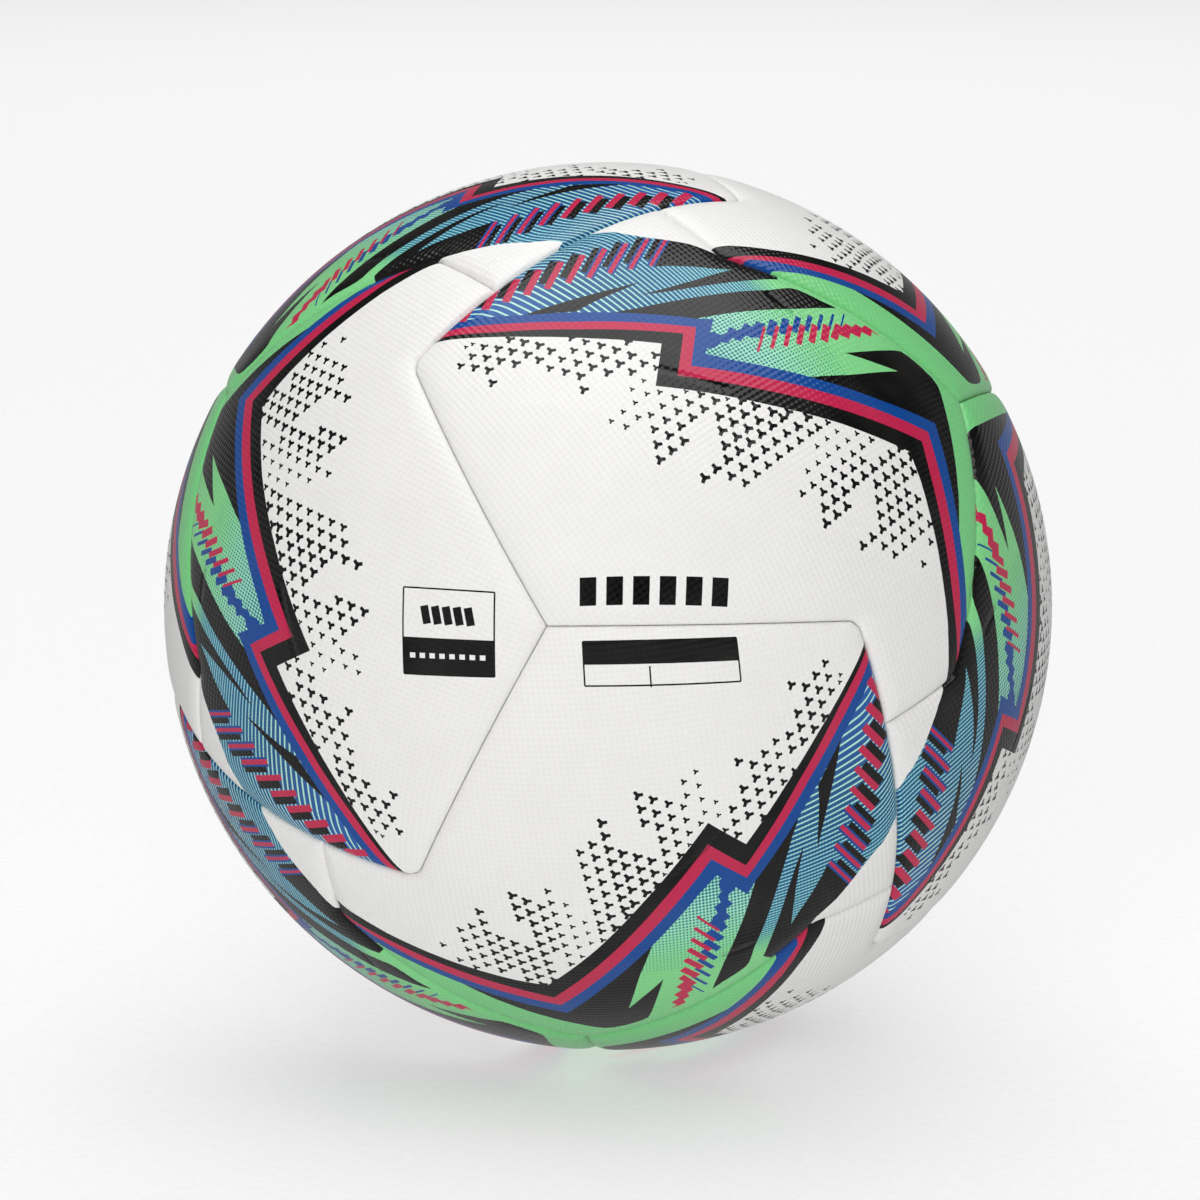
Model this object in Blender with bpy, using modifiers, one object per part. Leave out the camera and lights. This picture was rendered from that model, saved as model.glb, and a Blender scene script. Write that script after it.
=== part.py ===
"""A size 5 soccer ball: twelve bonded cover panels on foam, over a fabric carcass and an air bladder.

The origin is the centre of the ball and +Z is up. The twelve panels are one shape repeated by the
twelve turns of a tetrahedron, so every seam is shared by two copies of the same outline. Each
panel is drawn flat, in a chart where distances from the panel's centre are true, and then wrapped.
"""

import math

import bmesh
import bpy
from mathutils import Euler, Matrix, Vector
from mathutils.geometry import delaunay_2d_cdt

MM = 0.001

# Driving dimensions
BALL_RADIUS = 110 * MM  # a size 5 ball, 69.1 cm round
SEAM_DEPTH = 1.6 * MM  # how far the bonded edges dip below the ball's surface
SEAM_SHOULDER = 6 * MM  # width of the rounded shoulder beside a seam
SEAM_GAP = 0.3 * MM  # clear space between neighbouring panels
SKIN_THICKNESS = 1.0 * MM
FOAM_CLEARANCE = 0.3 * MM  # under the skin
FOAM_INNER_RADIUS = 105.2 * MM
CARCASS_OUTER_RADIUS = 104.4 * MM
CARCASS_THICKNESS = 0.8 * MM
BLADDER_OUTER_RADIUS = 103.3 * MM
BLADDER_THICKNESS = 0.8 * MM
INNER_FITTING_RADIUS = 102.2 * MM  # outer face of what is vulcanised inside the bladder
INNER_FITTING_THICKNESS = 1.0 * MM

# Directions to the seam network's corners, before the ball is turned to how it lies
SHARP_CORNER = Vector((1, 1, 1)).normalized()
BAND_CORNER = Vector((1, -1, 1)).normalized()
ROOF_HALF_ANGLE = math.radians(13.0)  # from a roof seam's middle to its end
ROOF_MIDDLE = Vector((1, 0, 0))
ROOF_END = Vector((math.cos(ROOF_HALF_ANGLE), math.sin(ROOF_HALF_ANGLE), 0))

# A panel's chart: its centre, and the directions of the chart's x and y
PANEL_TILT = math.atan(2 / (1 + math.sqrt(5)))
PANEL_CENTRE = Vector((math.cos(PANEL_TILT), 0, math.sin(PANEL_TILT)))
CHART_Y = Vector((math.sin(PANEL_TILT), 0, -math.cos(PANEL_TILT)))
CHART_X = CHART_Y.cross(PANEL_CENTRE)

# The two rounded corners of a panel, in its chart
OUTER_CORNER = Vector((-54.6 * MM, 56.6 * MM))
OUTER_CORNER_ROUND = 4.2 * MM
INNER_CORNER = Vector((26.0 * MM, -85.0 * MM))
INNER_CORNER_ROUND = 3.0 * MM

# Mesh spacing of a panel
SHOULDER_RING = 3.5 * MM  # how far the first ring of points stands in from the edge
GRID_STEP = 17 * MM
GRID_MARGIN = 10 * MM  # least distance from the edge to a grid point
LONG_SEAM_STEPS = 4
BAND_SEAM_STEPS = 4
SHORT_SEAM_STEPS = 2
CORNER_STEPS = 3
RING_TOLERANCE = 0.97  # share of the ring's depth below which its points are left out
LEAST_MITRE = 0.5  # keeps an outline that is moved inwards from spiking at sharp corners

# How the ball lies: the turn from the seam network's own axes to the world's
ORIENTATION = Euler((math.radians(-133.8), math.radians(-62.3), math.radians(-98.5)))

# The valve
VALVE_PANEL = 6
VALVE_PLACE = Vector((-34 * MM, -8 * MM))  # in its panel's chart
VALVE_CORE_RADIUS = 3.5 * MM
VALVE_CORE_TOP = 109.6 * MM  # from the ball's centre
VALVE_CORE_BOTTOM = 91 * MM
NEEDLE_RADIUS = 0.7 * MM
VALVE_BORE_RADIUS = 3.8 * MM
VALVE_STEM_RADIUS = 6.0 * MM
VALVE_STEM_TOP = 107.9 * MM
VALVE_STEM_BOTTOM = 87.5 * MM
VALVE_FLOOR = 89.5 * MM  # where the bore ends and the needle's slit begins
SKIN_HOLE_RADIUS = 4.4 * MM
STEM_HOLE_RADIUS = 6.4 * MM
HOLE_SIDES = 24
HOLE_CUT_LENGTH = 20 * MM
CHAMFER = 0.4 * MM

# Turned shells: their facets line up, so thin shells can sit close inside each other
SHELL_STEPS = 30
SHELL_SEGMENTS = 15
VALVE_STEPS = 30


def clear_scene():
    for item in list(bpy.data.objects):
        bpy.data.objects.remove(item, do_unlink=True)


def new_collection(name):
    collection = bpy.data.collections.new(name)
    bpy.context.scene.collection.children.link(collection)
    return collection


def make_material(name, colour, roughness, metallic=0.0):
    material = bpy.data.materials.new(name)
    material.use_nodes = True
    shader = material.node_tree.nodes["Principled BSDF"]
    shader.inputs["Base Color"].default_value = (*colour, 1)
    shader.inputs["Roughness"].default_value = roughness
    shader.inputs["Metallic"].default_value = metallic
    return material


# ---------------------------------------------------------------- the chart and the seam network


def wrap(point):
    """The direction that a point of the flat chart has on the ball."""
    distance = point.length
    if distance == 0:
        return PANEL_CENTRE.copy()
    angle = distance / BALL_RADIUS
    sideways = (CHART_X * point.x + CHART_Y * point.y) / distance
    return PANEL_CENTRE * math.cos(angle) + sideways * math.sin(angle)


def flatten(direction):
    """The chart point of a direction, wrap's opposite."""
    x, y = direction.dot(CHART_X), direction.dot(CHART_Y)
    angle = math.atan2(math.hypot(x, y), direction.dot(PANEL_CENTRE))
    return Vector((x, y)).normalized() * angle * BALL_RADIUS


def great_arc(start, end, steps):
    """Directions from start towards end along the shortest way, without end itself."""
    return [start.slerp(end, i / steps) for i in range(steps)]


def rounded_corner(before, corner, after, radius):
    """Directions along the arc that rounds a corner between two great arcs."""
    to_before = (before - corner * before.dot(corner)).normalized()
    to_after = (after - corner * after.dot(corner)).normalized()
    half = to_before.angle(to_after) / 2
    radius = radius / BALL_RADIUS
    centre = corner + (to_before + to_after).normalized() * radius / math.sin(half)
    first = (corner + to_before * radius / math.tan(half) - centre).normalized()
    last = (corner + to_after * radius / math.tan(half) - centre).normalized()
    spokes = great_arc(first, last, CORNER_STEPS) + [last]
    return [(centre + spoke * radius).normalized() for spoke in spokes]


def turned(directions, rotation):
    return [rotation @ direction for direction in directions]


def third_turn(corner, start, end):
    """The third of a turn about a three-way corner that takes start to end."""
    turns = [Matrix.Rotation(math.radians(angle), 3, corner) for angle in (120, -120)]
    return min(turns, key=lambda turn: (turn @ start - end).length)


def panel_outline():
    """One panel's edge, as directions in order round it."""
    roof_far_end = Vector((ROOF_END.x, -ROOF_END.y, 0))
    to_apex = Matrix.Rotation(math.radians(-120), 3, SHARP_CORNER)
    apex = to_apex @ ROOF_END
    to_far_side = third_turn(BAND_CORNER, apex, roof_far_end)

    outer_round = rounded_corner(SHARP_CORNER, wrap(OUTER_CORNER), ROOF_END, OUTER_CORNER_ROUND)
    long_seam = great_arc(SHARP_CORNER, outer_round[0], LONG_SEAM_STEPS) + outer_round[:-1]
    long_seam += great_arc(outer_round[-1], ROOF_END, SHORT_SEAM_STEPS) + [ROOF_END]

    inner_round = rounded_corner(BAND_CORNER, wrap(INNER_CORNER), apex, INNER_CORNER_ROUND)
    band_seam = great_arc(BAND_CORNER, inner_round[0], BAND_SEAM_STEPS) + inner_round[:-1]
    band_seam += great_arc(inner_round[-1], apex, SHORT_SEAM_STEPS) + [apex]

    half_roof = great_arc(ROOF_END, ROOF_MIDDLE, SHORT_SEAM_STEPS)
    half_roof += great_arc(ROOF_MIDDLE, roof_far_end, SHORT_SEAM_STEPS)
    far_side = turned(band_seam, to_far_side)[::-1]
    notch_side = turned(long_seam, to_apex)[::-1]
    return long_seam[:-1] + half_roof + far_side[:-1] + band_seam[:-1] + notch_side[:-1]


def edge_distance(point, outline):
    """Distance from a chart point to the nearest stretch of the outline."""
    nearest = math.inf
    for start, end in zip(outline, outline[1:] + outline[:1]):
        along = end - start
        share = max(0.0, min(1.0, (point - start).dot(along) / along.length_squared))
        nearest = min(nearest, (point - start - along * share).length)
    return nearest


def inside(point, outline):
    """Whether a ray from the point towards +X crosses the outline an odd number of times."""
    crossings = 0
    for start, end in zip(outline, outline[1:] + outline[:1]):
        if (start.y > point.y) != (end.y > point.y):
            x = start.x + (end.x - start.x) * (point.y - start.y) / (end.y - start.y)
            crossings += x > point.x
    return crossings % 2 == 1


def stepped_in(outline, distance):
    """The outline moved towards the panel's inside. It runs clockwise in the chart."""
    moved = []
    for i, point in enumerate(outline):
        into = (point - outline[i - 1]).normalized()
        out = (outline[(i + 1) % len(outline)] - point).normalized()
        normal = Vector((into.y + out.y, -into.x - out.x)).normalized()
        reach = distance / max(LEAST_MITRE, normal.dot(Vector((into.y, -into.x))))
        moved.append(point + normal * reach)
    return moved


def panel_points(edge):
    """Chart points inside a panel: a ring along the shoulder, and a triangular grid."""
    least = RING_TOLERANCE * SHOULDER_RING
    ring = [point for point in stepped_in(edge, SHOULDER_RING) if edge_distance(point, edge) > least]
    spaced = [ring[0]]
    for point in ring[1:]:
        if (point - spaced[-1]).length > SHOULDER_RING:
            spaced.append(point)
    rows = int(2 * BALL_RADIUS / GRID_STEP)
    for row in range(-rows, rows + 1):
        for column in range(-rows, rows + 1):
            shift = 0.5 if row % 2 else 0.0
            point = Vector(((column + shift) * GRID_STEP, row * GRID_STEP * math.sqrt(3) / 2))
            if inside(point, edge) and edge_distance(point, edge) > GRID_MARGIN:
                spaced.append(point)
    return spaced


def seam_dip(distance):
    """How far the surface lies below the ball's radius at this distance from the seam."""
    if distance >= SEAM_SHOULDER:
        return 0.0
    return SEAM_DEPTH * (1 - distance / SEAM_SHOULDER) ** 2


def flat_panel():
    """The panel's triangles in the chart, and each point's dip."""
    seam = [flatten(direction) for direction in panel_outline()]
    edge = stepped_in(seam, SEAM_GAP / 2)
    points = edge + panel_points(edge)
    borders = [(i, (i + 1) % len(edge)) for i in range(len(edge))]
    points, _, triangles, *_ = delaunay_2d_cdt(points, borders, [], 1, 1e-7)
    dips = [seam_dip(edge_distance(point, seam)) for point in points]
    return points, triangles, dips


def panel_mesh(name, points, triangles, radii):
    """The open patch with each point of the chart at its own radius, facing outwards."""
    shape = bmesh.new()
    corners = [shape.verts.new(wrap(point) * radius) for point, radius in zip(points, radii)]
    for triangle in triangles:
        shape.faces.new([corners[i] for i in triangle])
    bmesh.ops.recalc_face_normals(shape, faces=shape.faces)
    if shape.faces[0].normal.dot(shape.faces[0].calc_center_median()) < 0:
        bmesh.ops.reverse_faces(shape, faces=shape.faces)
    mesh = bpy.data.meshes.new(name)
    shape.to_mesh(mesh)
    shape.free()
    mesh.shade_smooth()
    return mesh


# ---------------------------------------------------------------- the pieces


def add_object(name, mesh, material, collection, parent, rotation=None):
    item = bpy.data.objects.new(name, mesh)
    collection.objects.link(item)
    item.parent = parent
    if rotation is not None:
        item.rotation_mode = "QUATERNION"
        item.rotation_quaternion = rotation.to_quaternion()
    if not mesh.materials:
        mesh.materials.append(material)
    return item


def add_solidify(item, thickness, offset, group=None):
    solidify = item.modifiers.new("Thickness", "SOLIDIFY")
    solidify.thickness = thickness
    solidify.offset = offset
    if group:
        solidify.vertex_group = group


def panel_turns():
    """The twelve turns of a tetrahedron: a third of a turn, followed by half a turn."""
    halves = [Matrix.Identity(3)] + [Matrix.Rotation(math.pi, 3, axis) for axis in "XYZ"]
    thirds = [Matrix.Rotation(math.radians(angle), 3, SHARP_CORNER) for angle in (0, 120, 240)]
    return [half @ third for half in halves for third in thirds]


def add_cover_panels(collection, frame, flat):
    points, triangles, dips = flat
    radii = [BALL_RADIUS - dip for dip in dips]
    mesh = panel_mesh("cover_panel", points, triangles, radii)
    material = make_material("cover_skin", (0.90, 0.90, 0.88), 0.42)
    panels = []
    for number, turn in enumerate(panel_turns(), start=1):
        panel = add_object(f"cover_panel_{number:02d}", mesh, material, collection, frame, turn)
        add_solidify(panel, SKIN_THICKNESS, -1)
        panels.append(panel)
    return panels


def add_foam_panels(collection, frame, flat):
    """Each foam grows outwards from a spherical back, and is thinner under the seams."""
    points, triangles, dips = flat
    mesh = panel_mesh("foam_backing", points, triangles, [FOAM_INNER_RADIUS] * len(points))
    fullest = BALL_RADIUS - SKIN_THICKNESS - FOAM_CLEARANCE - FOAM_INNER_RADIUS
    material = make_material("foam", (0.78, 0.78, 0.74), 0.9)
    foams = []
    for number, turn in enumerate(panel_turns(), start=1):
        foam = add_object(f"foam_backing_{number:02d}", mesh, material, collection, frame, turn)
        group = foam.vertex_groups.new(name="share_of_thickness")
        for i, dip in enumerate(dips):
            group.add([i], 1 - dip / fullest, "REPLACE")
        add_solidify(foam, fullest, 1, group.name)
        foams.append(foam)
    return foams


def turned_piece(name, profile, steps, material, collection, parent, rotation):
    """A profile of (distance from the axis, height) turned about the axis."""
    mesh = bpy.data.meshes.new(name)
    closed = profile[0] == profile[-1]
    corners = profile[:-1] if closed else profile
    edges = [(i, i + 1) for i in range(len(corners) - 1)]
    if closed:
        edges.append((len(corners) - 1, 0))
    mesh.from_pydata([(x, 0, z) for x, z in corners], edges, [])
    item = add_object(name, mesh, material, collection, parent, rotation)
    screw = item.modifiers.new("Turn", "SCREW")
    screw.steps = steps
    screw.render_steps = steps
    screw.use_merge_vertices = True
    screw.merge_threshold = 1e-6
    screw.use_smooth_shade = True
    return item


def meridian(radius, hole_radius, end_angle=math.pi):
    """Profile points down one side of a sphere, from a hole round its pole to an angle."""
    start = math.asin(hole_radius / radius)
    step = math.pi / SHELL_SEGMENTS
    count = round(end_angle / step)
    angles = [start] + [i * step for i in range(1, count + 1)]
    return [(radius * math.sin(a), radius * math.cos(a)) for a in angles]


def shell_profile(outer_radius, thickness):
    """A spherical shell with one round hole at its pole for the valve."""
    outside = meridian(outer_radius, STEM_HOLE_RADIUS)
    inside_wall = meridian(outer_radius - thickness, STEM_HOLE_RADIUS)
    outside[-1] = (0, -outer_radius)
    inside_wall[-1] = (0, thickness - outer_radius)
    return inside_wall[::-1] + outside


def valve_body_profile():
    """A stem with a bore for the core, and a flange that follows the bladder's inside."""
    step = math.pi / SHELL_SEGMENTS
    outer, inner = INNER_FITTING_RADIUS, INNER_FITTING_RADIUS - INNER_FITTING_THICKNESS
    neck = math.asin(VALVE_STEM_RADIUS / outer)
    return [
        (VALVE_BORE_RADIUS, VALVE_STEM_TOP),
        (VALVE_STEM_RADIUS, VALVE_STEM_TOP),
        (VALVE_STEM_RADIUS, outer * math.cos(neck)),
        (outer * math.sin(step), outer * math.cos(step)),
        (inner * math.sin(step), inner * math.cos(step)),
        (VALVE_STEM_RADIUS, inner * math.cos(neck)),
        (VALVE_STEM_RADIUS, VALVE_STEM_BOTTOM + CHAMFER),
        (VALVE_STEM_RADIUS - CHAMFER, VALVE_STEM_BOTTOM),
        (NEEDLE_RADIUS, VALVE_STEM_BOTTOM),
        (NEEDLE_RADIUS, VALVE_FLOOR),
        (VALVE_BORE_RADIUS, VALVE_FLOOR),
        (VALVE_BORE_RADIUS, VALVE_STEM_TOP),
    ]


def valve_core_profile():
    """A plug with a needle channel all the way through."""
    return [
        (NEEDLE_RADIUS, VALVE_CORE_TOP),
        (VALVE_CORE_RADIUS - CHAMFER, VALVE_CORE_TOP),
        (VALVE_CORE_RADIUS, VALVE_CORE_TOP - CHAMFER),
        (VALVE_CORE_RADIUS, VALVE_CORE_BOTTOM + CHAMFER),
        (VALVE_CORE_RADIUS - CHAMFER, VALVE_CORE_BOTTOM),
        (NEEDLE_RADIUS, VALVE_CORE_BOTTOM),
        (NEEDLE_RADIUS, VALVE_CORE_TOP),
    ]


def balance_patch_profile():
    """A thin disc against the bladder's inside, opposite the valve."""
    step = math.pi / SHELL_SEGMENTS
    outer, inner = INNER_FITTING_RADIUS, INNER_FITTING_RADIUS - INNER_FITTING_THICKNESS
    rim = math.pi - step
    return [
        (0, -inner),
        (inner * math.sin(rim), inner * math.cos(rim)),
        (outer * math.sin(rim), outer * math.cos(rim)),
        (0, -outer),
    ]


def valve_turn():
    """The turn that takes +Z to the valve's direction."""
    direction = panel_turns()[VALVE_PANEL - 1] @ wrap(VALVE_PLACE)
    return Vector((0, 0, 1)).rotation_difference(direction).to_matrix()


def add_inner_pieces(collection, frame):
    rotation = valve_turn()
    fabric = make_material("carcass_fabric", (0.72, 0.68, 0.58), 0.85)
    butyl = make_material("bladder_butyl", (0.03, 0.03, 0.03), 0.5)
    rubber = make_material("valve_rubber", (0.05, 0.05, 0.05), 0.55)
    silicone = make_material("valve_core_silicone", (0.80, 0.80, 0.78), 0.4)
    patch_rubber = make_material("balance_rubber", (0.09, 0.07, 0.06), 0.7)
    carcass = shell_profile(CARCASS_OUTER_RADIUS, CARCASS_THICKNESS)
    bladder = shell_profile(BLADDER_OUTER_RADIUS, BLADDER_THICKNESS)
    for name, profile, steps, material in (
        ("carcass", carcass, SHELL_STEPS, fabric),
        ("bladder", bladder, SHELL_STEPS, butyl),
        ("balance_patch", balance_patch_profile(), SHELL_STEPS, patch_rubber),
        ("valve_body", valve_body_profile(), VALVE_STEPS, rubber),
        ("valve_core", valve_core_profile(), VALVE_STEPS, silicone),
    ):
        turned_piece(name, profile, steps, material, collection, frame, rotation)


def cut_valve_hole(item, radius, cutters, frame):
    """A straight round hole along the valve's axis."""
    bpy.ops.mesh.primitive_cylinder_add(vertices=HOLE_SIDES, radius=radius, depth=HOLE_CUT_LENGTH)
    cutter = bpy.context.object
    cutter.name = f"{item.name}_hole"
    for holder in list(cutter.users_collection):
        holder.objects.unlink(cutter)
    cutters.objects.link(cutter)
    cutter.parent = frame
    rotation = valve_turn()
    cutter.rotation_mode = "QUATERNION"
    cutter.rotation_quaternion = rotation.to_quaternion()
    cutter.location = rotation @ Vector((0, 0, BALL_RADIUS))
    cutter.hide_render = True
    cutter.display_type = "WIRE"
    boolean = item.modifiers.new("Valve hole", "BOOLEAN")
    boolean.operation = "DIFFERENCE"
    boolean.solver = "EXACT"
    boolean.object = cutter


def build():
    clear_scene()
    parts = new_collection("soccer_ball")
    cutters = new_collection("cutters")
    frame = bpy.data.objects.new("ball_frame", None)
    frame.rotation_euler = ORIENTATION
    parts.objects.link(frame)

    flat = flat_panel()
    covers = add_cover_panels(parts, frame, flat)
    foams = add_foam_panels(parts, frame, flat)
    add_inner_pieces(parts, frame)
    cut_valve_hole(covers[VALVE_PANEL - 1], SKIN_HOLE_RADIUS, cutters, frame)
    cut_valve_hole(foams[VALVE_PANEL - 1], STEM_HOLE_RADIUS, cutters, frame)


build()
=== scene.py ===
"""The looks of the size 5 soccer ball: printed cover panels, rubber valve, and a plain pale studio.

Every cover panel is drawn flat, in millimetres, in a chart where distances from the panel's centre
are true. The seams and the print's outlines cut that flat panel into triangles, each triangle takes
the material of the print that it lies in, and the panel is then wrapped on the ball with rounded
shoulders along its seams. The chart stays on the mesh as the attribute "chart", in millimetres,
for the fine patterns of the materials.
"""

import math
from functools import cache

import bpy
import numpy as np
from mathutils import Euler, Matrix, Vector
from mathutils.geometry import delaunay_2d_cdt


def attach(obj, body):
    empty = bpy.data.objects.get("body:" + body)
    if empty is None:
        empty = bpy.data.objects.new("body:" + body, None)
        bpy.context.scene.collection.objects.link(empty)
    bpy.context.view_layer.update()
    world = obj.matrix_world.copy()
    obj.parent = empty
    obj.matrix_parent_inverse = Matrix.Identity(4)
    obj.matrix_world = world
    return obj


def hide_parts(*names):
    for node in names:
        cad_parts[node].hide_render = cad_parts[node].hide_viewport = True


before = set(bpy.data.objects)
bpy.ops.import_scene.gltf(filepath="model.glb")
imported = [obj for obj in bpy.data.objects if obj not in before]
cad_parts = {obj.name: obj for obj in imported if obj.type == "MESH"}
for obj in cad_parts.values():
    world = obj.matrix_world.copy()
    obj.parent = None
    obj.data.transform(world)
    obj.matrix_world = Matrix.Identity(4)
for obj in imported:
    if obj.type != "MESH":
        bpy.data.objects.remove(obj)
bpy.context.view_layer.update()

MM = 0.001

# ---------------------------------------------------------------- the seam network, as in the CAD

BALL_RADIUS = max(v.co.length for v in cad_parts["cover_panel_01"].data.vertices) / MM
SHARP_CORNER = Vector((1, 1, 1)).normalized()
BAND_CORNER = Vector((1, -1, 1)).normalized()
ROOF_HALF_ANGLE = math.radians(13.0)
ROOF_MIDDLE = Vector((1, 0, 0))
ROOF_END = Vector((math.cos(ROOF_HALF_ANGLE), math.sin(ROOF_HALF_ANGLE), 0))
PANEL_TILT = math.atan(2 / (1 + math.sqrt(5)))
PANEL_CENTRE = Vector((math.cos(PANEL_TILT), 0, math.sin(PANEL_TILT)))
CHART_Y = Vector((math.sin(PANEL_TILT), 0, -math.cos(PANEL_TILT)))
CHART_X = CHART_Y.cross(PANEL_CENTRE)
OUTER_CORNER = Vector((-54.6, 56.6))
OUTER_CORNER_ROUND = 4.2
INNER_CORNER = Vector((26.0, -85.0))
INNER_CORNER_ROUND = 3.0
ORIENTATION = Euler((math.radians(-133.8), math.radians(-62.3), math.radians(-98.5))).to_matrix()

# ---------------------------------------------------------------- the panels' relief, in millimetres

SEAM_GAP = 0.13  # clear space between neighbouring panels
SHOULDER_DEPTH = 0.95  # of the wide soft shoulder beside a seam
SHOULDER_WIDTH = 6.0
SHOULDER_CURVE = 2.5  # the power by which it levels out
LIP_DEPTH = 0.65  # of the tight bend where the skin turns into the bond
LIP_WIDTH = 1.1
LIP_CURVE = 2  # the same for this bend, and for the valve's lip
CORNER_BLEND = 4  # how tightly the shoulders of two seams merge at a corner
SKIN_THICKNESS = 1.0
VALVE_PANEL = 6
VALVE_PLACE = (-34.0, -8.0)
VALVE_HOLE_RADIUS = 4.4
VALVE_LIP_WIDTH = 1.6
VALVE_LIP_DEPTH = 0.5

# Mesh spacing, in millimetres
SEAM_STEP = 1.4
CORNER_STEPS = 6  # in the arc that rounds a corner of the panel
SHOULDER_RINGS = (0.25, 0.55, 0.95, 1.5, 2.3, 3.3, 4.6, 6.2)  # rows of points, from the seam inwards
GRID_STEP = 2.6
GRID_MARGIN = 6.8  # from the seams
FINE_STEP = 0.6  # along the print's outlines, beside the seams
COARSE_STEPS = 4  # how many fine steps they take at once elsewhere
BACK_RINGS = (1.2, 3.0)
BACK_GRID_STEP = 9.0
VALVE_SIDES = 48
VALVE_RINGS = (0.25, 0.6, 1.1, 1.8)
LEAST_MITRE = 0.5  # keeps a sharp corner of a moved outline from running far out
RING_TOLERANCE = 0.97  # share of its depth that a ring's point keeps from every seam
WELD_DISTANCE = 1e-5  # within which two points are one
SLOPE_REACH = 0.05  # to each side, where the surface's slope is measured

# ---------------------------------------------------------------- the print, in chart millimetres

# How each panel's print is moved, and stretched about the panel's centre, from its nominal place:
# along x, along y, the stretch of x and the stretch of y
STRAIGHT = (0, 0, 1, 1)
PRINT_PLACE = {
    1: (0, -0.4, 1, 1),
    2: (-0.1, -1.3, 1.06, 0.977),
    3: (-2.0, -0.75, 0.985, 0.99),
    4: (0.9, -2.2, 1.04, 1),
    12: (1.2, 0.8, 1.04, 1.01),
}

WHITE, BLACK, CRIMSON, BLUE, HATCH, HALFTONE, GREEN = range(7)

# Inner edges of the four bands that run from the panel's outer corner, over a step, to its far side
BLACK_EDGE = (
    (-51, 61.5), (-47.3, 58), (-30, 40.8), (-20, 31.6), (-7.1, 20.6), (-15.3, 12), (5, -4.8),
    (20, -16.5), (35.6, -29.4), (34.6, -37), (31.4, -52), (27, -70), (22.3, -85), (20, -93), (34, -92),
)
CRIMSON_EDGE = (
    (-49, 61.5), (-45.5, 58), (-35, 47.8), (-20, 35), (-0.9, 20.2), (-9.4, 11.5), (5, -0.1),
    (20, -11.6), (41.5, -28.2), (39, -36), (34.7, -52), (31, -66), (27, -84), (27, -90),
)
BLUE_EDGE = (
    (-46, 61.5), (-42.5, 58), (-30, 46.7), (-20, 38), (2.9, 20.2), (-5, 12), (5, 4.2),
    (20, -7.4), (45.4, -26.7), (43, -35), (38.5, -51), (34.6, -64), (29.5, -78.5), (31, -86),
)
FIELD_EDGE = (
    (-41, 61.5), (-37.5, 56.8), (-26.5, 46.9), (-10.5, 34.2), (4.6, 22.2), (8.2, 20.1), (0, 13), (5, 8.3),
    (20, -3.4), (35, -15), (49.8, -25.3), (46.8, -35), (41.3, -51.5), (37, -65), (34.5, -74), (38, -80),
)
OUTSIDE = ((80, -30), (75, 0), (45, 45), (35, 75))  # far round the panel, past its seams

HATCH_AREA = (
    (-41, 61.5), (-37.5, 56.8), (-26.5, 46.9), (-10.5, 34.2), (-5, 32), (5, 28.7), (20, 24.1),
    (28, 21.4), (31, 20.8), (31, 26), (45, 45), (35, 75),
)
GREEN_AREA = (
    (31, 20.8), (34, 20.1), (35.6, 19.1), (37.4, 17.1), (40, 13.6), (42.7, 10.8), (40, 11.4), (31, 13.8),
    (31, -6.7), (35, -7.6), (47.3, -10), (42, -6.6), (38, -3.8), (34.2, -1.2), (40, -2.4), (50, -4.3),
    (53.6, -5.2), (55.4, -6.9), (57.6, -10.2), (59.4, -13.9), (59.8, -16.2), (59, -18.8), (55, -27.2),
    (51, -35), (46, -44), (41.3, -51.5), (37, -65), (34.5, -74), (38, -80), (80, -30), (75, 0), (45, 45),
    (31, 26),
)
HALFTONE_AREA = (
    (4.6, 22.2), (15, 19.1), (25, 15.8), (31, 13.8), (31, -6.7), (25, -4.9), (20, -3.4), (5, 8.3),
    (0, 13), (8.2, 20.1),
)
LONG_SPIKE = (
    (-27, 47.3), (-20, 45), (-10, 41.6), (-4, 39.7), (0.7, 38.4), (-4, 38.7), (-12, 39.7), (-17.3, 39.9),
    (-22, 43.3),
)
RIGHT_WEDGES = (
    (6.4, 41), (17, 47), (30, 50), (40, 30), (33, 23.7), (25, 26), (10, 30.4), (4, 32.4), (-1.8, 34.9),
    (5, 33.3), (12, 32.1), (23.5, 30.8), (20, 32.7), (15, 36.1), (10, 39.2),
)
WHITE_CORNER = (
    (2.5, 62), (4.6, 59.7), (8.3, 56.6), (10.2, 53.8), (13.5, 50), (17, 46.6), (20.5, 43), (22.6, 39.9),
    (24.4, 37.6), (26.5, 36.4), (40, 45), (35, 75),
)
WAVE_BAND = (
    (0, 14.6), (3.4, 17.2), (5.6, 17.2), (6.8, 15.5), (8.4, 15.3), (10.2, 16.5), (11.2, 14.8),
    (12.8, 14.8), (14.4, 15.8), (15.4, 14.1), (17.6, 14.6), (16, 11.4), (13.2, 11.3), (12.2, 12.6),
    (9.8, 11.9), (8.8, 13.5), (6.6, 12.9), (5.4, 13.9), (3, 13.2),
)

MARK_LINE = 0.4  # width of the thin lines of the marks

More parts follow.
